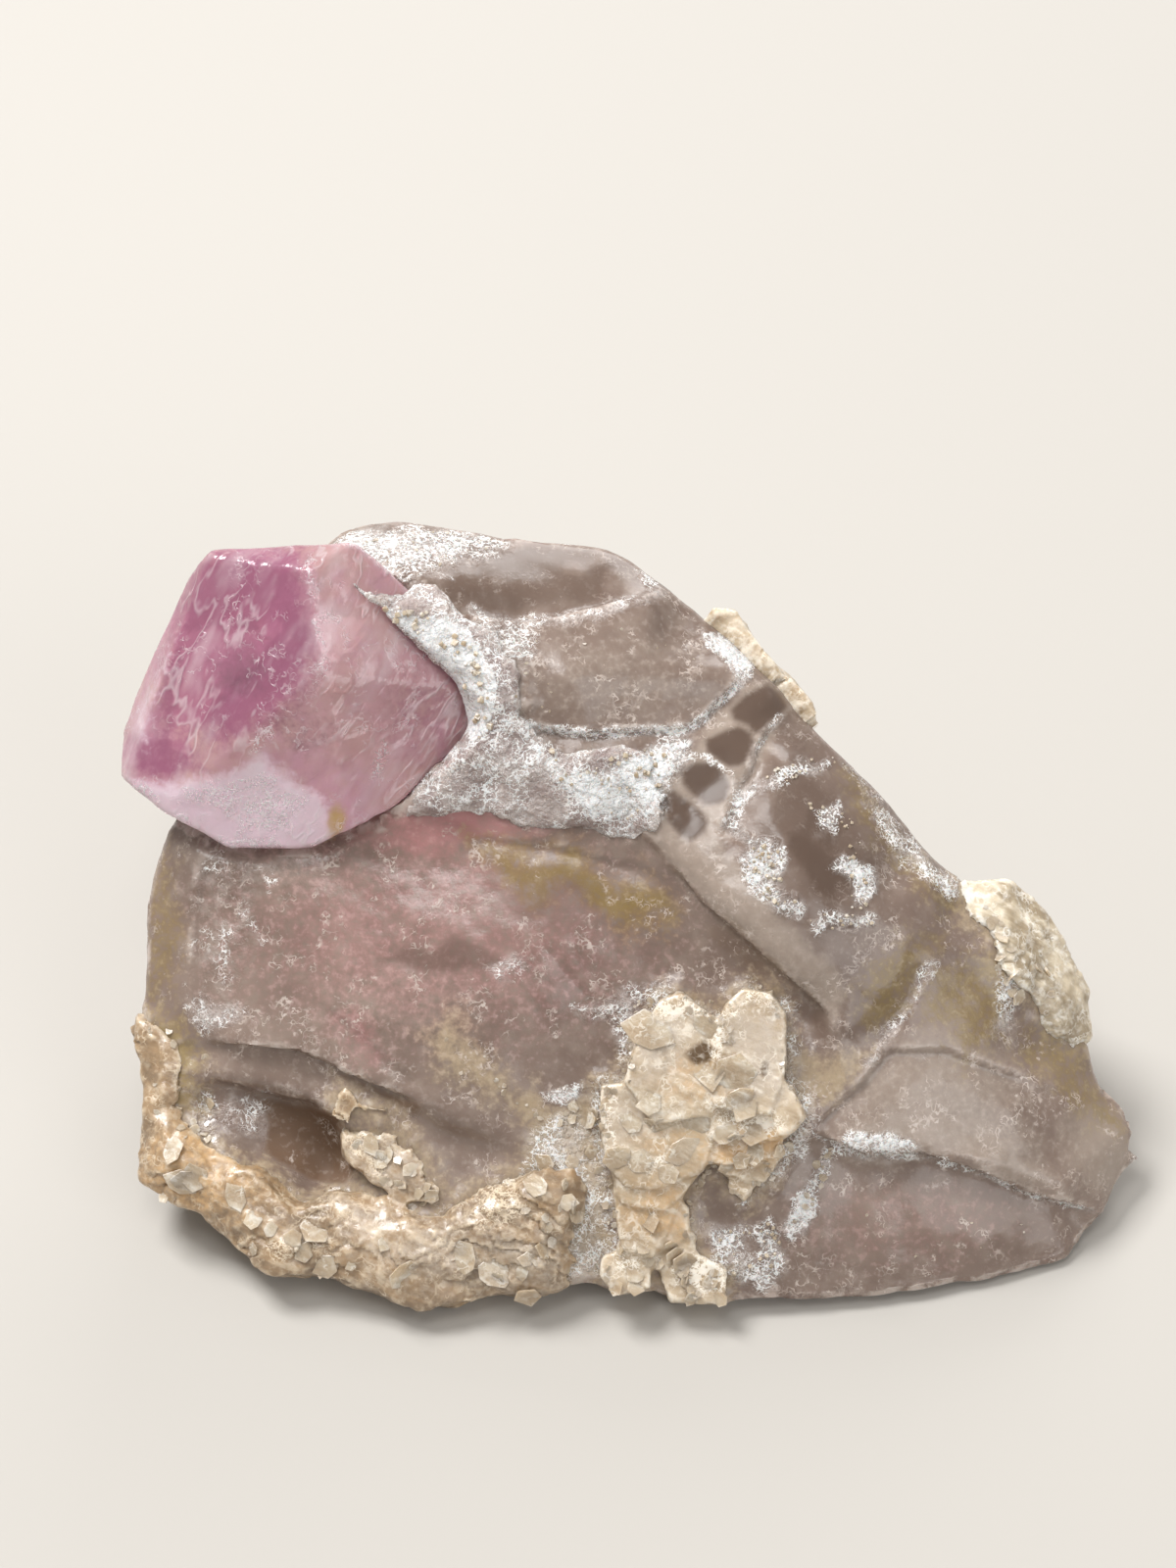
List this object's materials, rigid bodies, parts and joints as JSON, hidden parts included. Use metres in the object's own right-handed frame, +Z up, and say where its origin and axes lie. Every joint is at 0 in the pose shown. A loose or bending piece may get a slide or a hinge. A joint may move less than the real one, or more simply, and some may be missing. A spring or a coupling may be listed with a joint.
{
  "type": "pink tourmaline on matrix",
  "caption": "Rough mineral specimen: a stubby pink tourmaline crystal seated in the corner of a smoky quartz fragment crusted with cream mica and white albite.",
  "frame": {"origin": "middle of the specimen's box in X and Y, at the level of the flat fracture it rests on", "axes": "+Z up, +X to the viewer's right along the long side, -Y towards the viewer: the broad broken face looks forwards and 50 degrees up"},
  "size_m": [0.0528, 0.0363, 0.0289],
  "materials": {
    "quartz": "translucent mauve-grey smoky quartz, glassy on fresh breaks and frosted elsewhere",
    "tourmaline": "translucent pink gem crystal with milky veils, vitreous",
    "albite": "white sugary crust, matt with bright grains",
    "tan_mica": "tan flaky mica and feldspar crust, pearly on the flakes",
    "cream_mica": "cream-grey mica plates, pearly and slightly see-through",
    "pale_mica": "pale frosted mica crust with white flecks"
  },
  "bodies": {
    "root": {"quartz_matrix": "quartz", "tourmaline_crystal": "tourmaline", "albite_rim": "albite", "mica_ledge": "tan_mica", "mica_rosette": "cream_mica", "edge_mica": "pale_mica", "mica_sliver": "cream_mica"}
  },
  "joints": []
}
